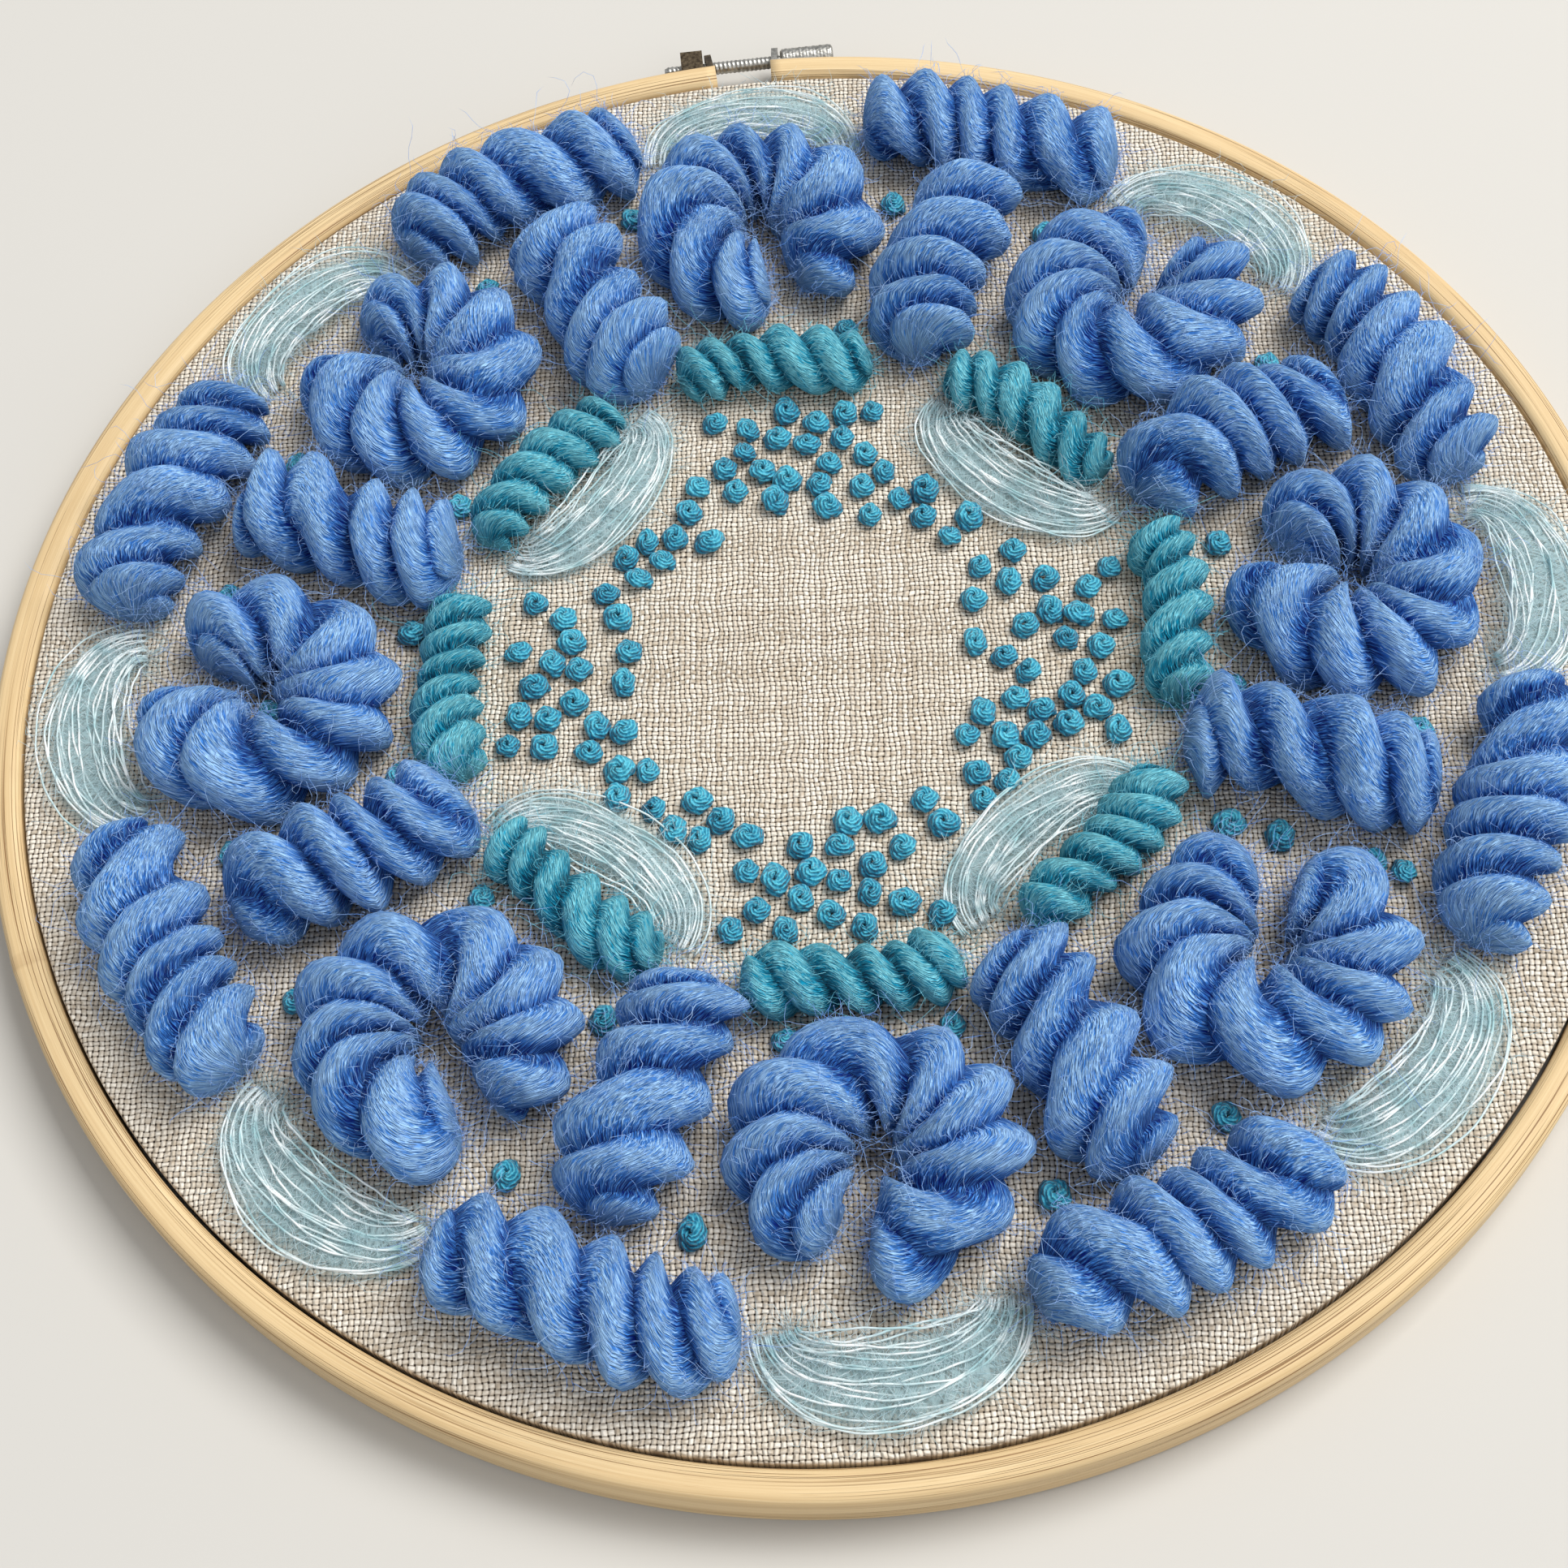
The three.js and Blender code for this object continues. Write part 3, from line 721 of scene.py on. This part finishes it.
def curled(root, first, second, reach, bend, points, rng):
    """Paths of one length that turn at a steady rate, plus a wobble, in a plane through both directions:
    the running sum of equal steps, whose heading is that turn."""
    first = unit(first)
    second = unit(second - np.sum(second * first, -1, keepdims=True) * first)
    way = np.linspace(0, 1, points)[None, 1:, None]
    turn = rng.normal(0, bend, (len(root), 1, 1)) * way
    turn = turn + 0.5 * np.sin(way * 7 + rng.uniform(0, 2 * np.pi, (len(root), 1, 1)))
    steps = (np.cos(turn) * first[:, None] + np.sin(turn) * second[:, None]) * reach[:, None] / (points - 1)
    return np.concatenate([root[:, None], root[:, None] + np.cumsum(steps, 1)], 1)


FIBRE_CREST = 0.25  # the least mark at a fibre's root, from 0 in the grooves to 1 on the crests
FIBRE_HEIGHT = 0.6  # the least height of a root over the wool's underside
FIBRE_DEPTH = 0.2  # of a root under the ply's surface
FIBRE_SCATTER = 0.35  # of the roots about the points that are drawn for them
FIBRE_ALONG = 0.8  # how strongly a fibre follows its ply
FIBRE_SPREAD = 0.45  # of the directions in which the fibres leave
FIBRE_REST = 0.15  # the least height of a fibre over the wool's underside


def stray_fibres(rows, crest, kind, count, rng):
    """Fibres that leave a surface at chance points off its grooves, mostly along it and a little out."""
    out = normals(rows)
    middle = rows.mean(2, keepdims=True)
    out = out * np.sign(np.sum(out * (rows - middle), -1, keepdims=True))
    ahead = unit(np.gradient(rows, axis=1))
    free = np.flatnonzero((crest > FIBRE_CREST) & (rows[..., 2] > WOOL_FLOOR + FIBRE_HEIGHT))
    picked = rng.choice(free, count)
    normal = out.reshape(-1, 3)[picked]
    along = ahead.reshape(-1, 3)[picked] * rng.choice([-1, 1], (count, 1))
    root = rows.reshape(-1, 3)[picked] - FIBRE_DEPTH * normal + rng.normal(0, FIBRE_SCATTER, (count, 3))
    first = kind["lift"] * normal + FIBRE_ALONG * along + rng.normal(0, FIBRE_SPREAD, (count, 3))
    second = rng.normal(0, 1, (count, 3)) - 0.8 * normal
    reach = kind["reach"] * rng.uniform(0.35, 1, (count, 1))
    paths = curled(root, first, second, reach, kind["bend"], kind["points"], rng)
    paths[..., 2] = np.maximum(paths[..., 2], WOOL_FLOOR + FIBRE_REST)
    return paths


# Kinds of stray fibre: greatest length, how many to a millimetre of laid roving, the points of a path,
# its radius, how steeply it leaves the ply and how much it bends
FIBRES = {
    "tuft": {"reach": 2.4, "each": 19, "points": 3, "radius": 0.042, "lift": 0.8, "bend": 0.8},
    "curl": {"reach": 5.5, "each": 7, "points": 5, "radius": 0.038, "lift": 0.5, "bend": 1.8},
    "stray": {"reach": 12, "each": 3.4, "points": 7, "radius": 0.034, "lift": 0.4, "bend": 2.6},
}


def wool_pieces(lays, looks, fibre_looks):
    """The plies of each laid length, and the fuzz of all lengths of a yarn, one piece for each kind."""
    fuzz = {(slot, kind): [] for slot in looks for kind in FIBRES}
    for lay in lays:
        yarn = lay.row["yarn"]
        slot = yarn["slot"]
        rng = np.random.default_rng(lay.seed)
        rows, ends, along, crest = ply_rows(lay, rng)
        around = np.linspace(0, 2 * np.pi * yarn["ply"] * yarn["wide"], yarn["sides"] + 1)
        along = along + PATTERN_SHIFT * lay.seed
        made = skin(f"{lay.node}_plies", rows, ends, along, around, {"crest": crest})
        finish_piece(made, looks[slot], slot, lay.node)
        for name, kind in FIBRES.items():
            count = int(kind["each"] * lay.length * yarn["hair"])
            fuzz[slot, name].append(stray_fibres(rows, crest, kind, count, rng))
    for (slot, name), paths in fuzz.items():
        made = strands(f"{slot}_{name}_fibres", np.concatenate(paths), FIBRES[name]["radius"])
        finish_piece(made, fibre_looks[slot], slot)


# Mohair

FAN_WIDTH = (12.5, 7.5)  # half width of the innermost loop, and what the outermost adds
FAN_REACH = (3, 14)  # how far out the innermost loop goes, and what the outermost adds
FAN_FULL = 0.85  # power of the ellipse, fuller as it is smaller
INNER_FAN = 0.85  # reach of the fans near the hoop's middle, as a share of the others'
LOOP_GATHER = 8.5  # from the fan's middle back to its gathered ends
LOOPS = 20
LOOP_POINTS = 48
LOOP_RADIUS = 0.17
LOOP_LIFT = 3.2
LOOP_WAVES = ((1.4, 5), (0.7, 9), (0.5, 11))  # along, out and up: how far, and radians over a loop
CRINKLE = 0.07
CRINKLE_WAVE = 52  # radians over a loop
HALO = 1000  # fine fibres to a fan
HALO_RADIUS = 0.038
HALO_POINTS = 4
HALO_REACH = (2.5, 8.5)
HALO_BEND = 1.3
VEIL_STATIONS = 36
VEIL_SIDES = 20
VEIL_SPREAD = 0.58  # of its rims from the middle loop, as a share of the fan
VEIL_LIFT = 1.7
VEIL_THICK = 1.1
VEIL_ALONG = 1.3  # millimetres of its pattern to a station
VEIL_AROUND = 1.7  # millimetres of its pattern to a side


def loop_shape(lay, share, way, lift):
    """Half turns of ellipses from one gathered end to the other. share, from 0 to 1, tells how far out
    in the fan, way how far along; the fan opens away from the hoop's wool."""
    outwards = lay.out > HOOP_INSIDE / 2
    turn = np.pi * way
    on = -(FAN_WIDTH[0] + FAN_WIDTH[1] * share) * np.cos(turn)
    reach = (FAN_REACH[0] + FAN_REACH[1] * share) * (1 if outwards else INNER_FAN)
    off = reach * np.sin(turn) ** FAN_FULL - LOOP_GATHER
    up = 0.3 + lift * (1.2 - 0.7 * share) * np.sin(turn) ** 0.7
    return on, -off if outwards else off, up


def mohair_loops(lay, rng):
    """Loops of core thread, each wider and longer than the one inside it, off their ellipses by slow
    waves that die away at the ends, and by a fine crinkle that winds like a spring."""
    share = (np.arange(LOOPS) / (LOOPS - 1))[:, None] + rng.uniform(-0.1, 0.08, (LOOPS, 1))
    way = np.linspace(0, 1, LOOP_POINTS)[None]
    on, off, up = loop_shape(lay, share, way, LOOP_LIFT)
    phase = rng.uniform(0, 2 * np.pi, (4, LOOPS, 1))
    bell = np.sin(np.pi * way)
    waves = [far * bell * np.sin(way * fast + start)
             for (far, fast), start in zip(LOOP_WAVES, phase[[0, 1, 3]])]
    crinkle = way * CRINKLE_WAVE + phase[2]
    on = on + waves[0]
    off = off + waves[1] + CRINKLE * np.sin(crinkle)
    up = up + waves[2] + CRINKLE * np.cos(crinkle)
    flat = lay.local(on, off)
    return np.concatenate([flat, (WOOL_FLOOR + np.maximum(up, LOOP_RADIUS))[..., None]], -1)


def halo_paths(loops, rng):
    """Fine fibres that leave the loops at any point, run partly along them and curl away."""
    ahead = unit(np.gradient(loops, axis=1)).reshape(-1, 3)
    spot = rng.integers(0, len(ahead), HALO)
    root = loops.reshape(-1, 3)[spot]
    reach = rng.uniform(*HALO_REACH, (HALO, 1))
    lean = rng.normal(0, 0.6, (HALO, 3)) * np.array([1, 1, 0.5])
    first = ahead[spot] * rng.choice([-1, 1], (HALO, 1)) + lean
    second = rng.normal(0, 1, (HALO, 3)) * np.array([1, 1, 0.3])
    paths = curled(root, first, second, reach, HALO_BEND, HALO_POINTS, rng)
    paths[..., 2] = np.maximum(paths[..., 2], WOOL_FLOOR + 0.1)
    away = np.linalg.norm(paths[..., :2], axis=-1, keepdims=True)
    paths[..., :2] *= np.minimum(1, (CLOTH_RIM - 0.5) / away)
    return paths


def veil_rows(lay):
    """The cloud of finest fibres about the loops: a thin closed lens that follows their shape. Returns
    the rows, the tips, and a mark that is 1 at the rim."""
    way = np.linspace(0.02, 0.98, VEIL_STATIONS)[:, None]
    angle = 2 * np.pi * np.arange(VEIL_SIDES) / VEIL_SIDES
    share = 0.5 + VEIL_SPREAD * np.cos(angle)
    on, off, up = loop_shape(lay, share, way, VEIL_LIFT)
    up = np.maximum(up + VEIL_THICK * np.sin(angle) * np.sin(np.pi * way), 0.05)
    rows = np.concatenate([lay.local(on, off), (WOOL_FLOOR + up)[..., None]], -1)
    rim = np.maximum(np.abs(np.cos(angle)), np.abs(2 * way - 1) ** 2)
    return rows[None], rows[[0, -1]].mean(1)[None], rim


def mohair_pieces(lays, thread, fibre, veil):
    """Each fan's loops, fine fibres and veil, in these three looks."""
    around = VEIL_AROUND * np.arange(VEIL_SIDES + 1)
    for lay in lays:
        rng = np.random.default_rng(lay.seed)
        loops = mohair_loops(lay, rng)
        made = strands(f"{lay.node}_loops", loops, LOOP_RADIUS, sides=4)
        finish_piece(made, thread, "mohair_pale", lay.node)
        made = strands(f"{lay.node}_halo", halo_paths(loops, rng), HALO_RADIUS)
        finish_piece(made, fibre, "mohair_pale")
        rows, ends, rim = veil_rows(lay)
        along = VEIL_ALONG * np.arange(VEIL_STATIONS) + PATTERN_SHIFT * lay.seed
        made = skin(f"{lay.node}_veil", rows, ends, along, around, {"rim": rim})
        finish_piece(made, veil, "mohair_pale")


# French knots

KNOT_TURNS = 2.1
KNOT_POINTS = 30
KNOT_SIDES = 6
KNOT_THREAD = 0.78
KNOT_SIZE = (0.95, 1.18)
KNOT_REACH = (1.5, 0.25)  # of the thread's middle from the knot's, at the cloth and in the dimple
KNOT_RISE = 2.0
KNOT_DIMPLE = 0.75
KNOT_OVAL = (0.82, 1.12)
KNOT_TILT = 0.2
KNOT_BEAD = 0.2  # depth of its bulges, as a share of the thread
KNOT_BEADS = (3.2, 5.2)  # bulges to a turn, least and most


def french_knots(look):
    """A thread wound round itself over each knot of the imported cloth: a spiral that rises from the cloth,
    then draws in and down to a dimple, and bulges as it goes round."""
    crowns = np.array([v.co for v in nodes["linen"].data.vertices])
    crowns = (crowns - CENTRE) * 1000
    crowns = np.unique(np.round(crowns[crowns[:, 2] > KNOT_CROWN], 2), axis=0)
    rng = np.random.default_rng(5)
    count = len(crowns)
    way = np.linspace(0, 1, KNOT_POINTS)[None]
    turn = 2 * np.pi * KNOT_TURNS * way + rng.uniform(0, 2 * np.pi, (count, 1))
    size = rng.uniform(*KNOT_SIZE, (count, 1))
    out = size * (KNOT_REACH[0] - (KNOT_REACH[0] - KNOT_REACH[1]) * way ** 2)
    rise = KNOT_RISE * way - KNOT_DIMPLE * way ** 4
    up = 0.5 + size * rise * (0.85 + 0.15 * rng.random((count, 1)))
    oval = rng.uniform(*KNOT_OVAL, (count, 1))
    tilt = rng.normal(0, KNOT_TILT, (count, 2, 1))
    x = out * oval * np.cos(turn)
    y = out / oval * np.sin(turn)
    up = np.maximum(up + tilt[:, 0] * x + tilt[:, 1] * y, 0.35)
    spiral = np.stack([x + crowns[:, :1], y + crowns[:, 1:2], WOOL_FLOOR + up], -1)
    bead = 1 + KNOT_BEAD * np.sin(rng.uniform(*KNOT_BEADS, (count, 1)) * turn)
    made = strands("french_knots", spiral, KNOT_THREAD * size * bead, KNOT_SIDES)
    return finish_piece(made, look, "yarn_teal")


# Screw

SCREW_SIDES = 54
ROD_STATIONS = 120
KNOB_STATIONS = 70
ROD_CHAMFER = 0.35
CHAMFER_FALL = 3  # how fast it fades along the rod, to a millimetre
THREAD_STEP = 0.8
THREAD_DEPTH = 0.16
KNURL_TURNS = 9
KNURL_STEP = 1.3
KNURL_DEPTH = 0.14


def screw_piece(look):
    """A turned bar about the screw's axis. The rod's radius falls and rises with one helix, and the knob's
    with two crossed ones; the rod's free end and the knob's edges are bevelled."""
    angle = np.linspace(0, 2 * np.pi, SCREW_SIDES, endpoint=False)
    knob_end = FITTING_START + KNOB_LENGTH
    rod = np.linspace(-ROD_END, FITTING_START, ROD_STATIONS)
    knob = np.linspace(FITTING_START, knob_end, KNOB_STATIONS)
    helix = np.abs((rod[:, None] / THREAD_STEP - angle / (2 * np.pi)) % 1 - 0.5) * 2
    chamfer = ROD_CHAMFER * np.exp(-(rod + ROD_END) * CHAMFER_FALL)
    rod_radius = ROD_RADIUS - THREAD_DEPTH * helix - chamfer[:, None]
    wound = angle * KNURL_TURNS / np.pi
    cross = [np.abs((knob[:, None] / KNURL_STEP * way + wound) % 1 - 0.5) for way in (1, -1)]
    edge = np.minimum(knob - FITTING_START, knob_end - knob)
    bevel = KNOB_EDGE * (1 - np.minimum(1, edge / KNOB_EDGE)) ** 2
    knob_radius = KNOB_RADIUS - KNURL_DEPTH * 2 * np.maximum(*cross) - bevel[:, None]
    along = np.concatenate([rod, knob])
    radius = np.concatenate([rod_radius, knob_radius])
    rows = np.stack([np.broadcast_to(along[:, None], radius.shape), SCREW_OUT + radius * np.cos(angle),
                     SCREW_UP + radius * np.sin(angle)], -1)[None]
    ends = np.array([[[x, SCREW_OUT, SCREW_UP] for x in (-ROD_END, knob_end)]])
    made = skin("screw_and_knob", rows, ends, along)
    return finish_piece(made, look, "steel", "screw")


# Stage, light and camera

TABLE_HALF = 3.0  # metres


def stage():
    """A pale table top, flat under the hoop."""
    mesh = bpy.data.meshes.new("table_top")
    corners = [(x * TABLE_HALF, y * TABLE_HALF, 0) for x, y in ((-1, -1), (1, -1), (1, 1), (-1, 1))]
    mesh.from_pydata(corners, [], [(0, 1, 2, 3)])
    floor = bpy.data.objects.new("table_top", mesh)
    bpy.context.scene.collection.objects.link(floor)
    constants = {"Base Color": paint(204, 201, 195), "Roughness": 0.95, "Specular IOR Level": 0.1}
    floor.data.materials.append(Look("white_table", constants).material)


# Lamps: where they stand, in degrees and metres, their size in metres and their power in watts
LAMPS = [
    {"name": "window", "azimuth": 118, "elevation": 56, "distance": 3.2, "size": 1.9, "power": 112,
     "colour": (1.0, 0.985, 0.96)},
    {"name": "fill", "azimuth": 30, "elevation": 40, "distance": 2.4, "size": 1.6, "power": 10,
     "colour": (0.98, 0.99, 1.0)},
]


def area_light(name, azimuth, elevation, distance, size, power, colour):
    """A square lamp that looks at the hoop from that side and height."""
    lamp = bpy.data.lights.new(name, "AREA")
    lamp.size = size
    lamp.energy = power
    lamp.color = colour
    made = bpy.data.objects.new(name, lamp)
    a, e = math.radians(azimuth), math.radians(elevation)
    away = Vector((math.sin(a) * math.cos(e), -math.cos(a) * math.cos(e), math.sin(e)))
    aim = away.to_track_quat("Z", "Y").to_matrix().to_4x4()
    made.matrix_world = Matrix.Translation(away * distance) @ aim
    bpy.context.scene.collection.objects.link(made)


CAMERA_ELEVATION = math.radians(61.09)
CAMERA_ROLL = math.radians(-6.13)
CAMERA_DISTANCE = 2.9729 * HOOP_INSIDE
CAMERA_AIM = (-0.0521 * HOOP_INSIDE, -0.1714 * HOOP_INSIDE, RING_HEIGHT)
CAMERA_LENS = 55.9
CAMERA_SENSOR = 36


def camera():
    """Looks along +Y and down at the aim, from its distance, rolled about its own axis."""
    lens = bpy.data.cameras.new("camera")
    lens.lens = CAMERA_LENS
    lens.sensor_width = CAMERA_SENSOR
    made = bpy.data.objects.new("camera", lens)
    back = Vector((0, -math.cos(CAMERA_ELEVATION), math.sin(CAMERA_ELEVATION)))
    level = Vector((1, 0, 0))
    upright = back.cross(level)
    right = math.cos(CAMERA_ROLL) * level + math.sin(CAMERA_ROLL) * upright
    up = math.cos(CAMERA_ROLL) * upright - math.sin(CAMERA_ROLL) * level
    at = Vector(place(np.array(CAMERA_AIM))) + back * (CAMERA_DISTANCE / 1000)
    made.matrix_world = Matrix.Translation(at) @ Matrix((right, up, back)).transposed().to_4x4()
    bpy.context.scene.collection.objects.link(made)
    bpy.context.scene.camera = made


DAYLIGHT = (0.93, 0.96, 1.0, 1.0)
DAYLIGHT_STRENGTH = 0.46


def world():
    """Even daylight from all sides."""
    made = bpy.data.worlds.new("studio")
    made.use_nodes = True
    background = made.node_tree.nodes["Background"]
    background.inputs["Color"].default_value = DAYLIGHT
    background.inputs["Strength"].default_value = DAYLIGHT_STRENGTH
    bpy.context.scene.world = made
    bpy.context.scene.view_settings.view_transform = "Standard"


camera()
stage()
world()
for lamp in LAMPS:
    area_light(**lamp)

# The hoop and what is worked on it

bamboo = bamboo_look()
outer_ring(bamboo)
inner_ring(bamboo)
cloth = linen_sheet(linen_look())
french_knots(cotton_look())
lays = wreath()
wool_pieces(
    [lay for lay in lays if lay.row["yarn"]],
    {"roving_blue": wool_look("blue_roving", *BLUES, BLUE_SHEEN),
     "yarn_teal": wool_look("teal_roving", *TEALS, TEAL_SHEEN)},
    {"roving_blue": plain_fibre_look("blue_fibre", paint(84, 144, 228), paint(168, 204, 250)),
     "yarn_teal": plain_fibre_look("teal_fibre", paint(50, 166, 196), paint(132, 214, 230))},
)
mohair_pieces(
    [lay for lay in lays if not lay.row["yarn"]],
    plain_fibre_look("mohair_thread", paint(168, 206, 210), paint(250, 254, 253)),
    plain_fibre_look("mohair_fibre", paint(160, 196, 206), paint(214, 232, 236)),
    veil_look(),
)
steel = metal_look("bright_steel", paint(150, 148, 142), paint(206, 204, 198), 0.28)
dark_steel = metal_look("browned_steel", paint(66, 56, 46), paint(120, 106, 86), 0.36)
screw_piece(steel)

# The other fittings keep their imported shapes
for name, look in (("lug_right", steel), ("lug_left", dark_steel), ("screw_nut", dark_steel)):
    nodes[name].data.materials.clear()
    nodes[name].data.materials.append(look.material)
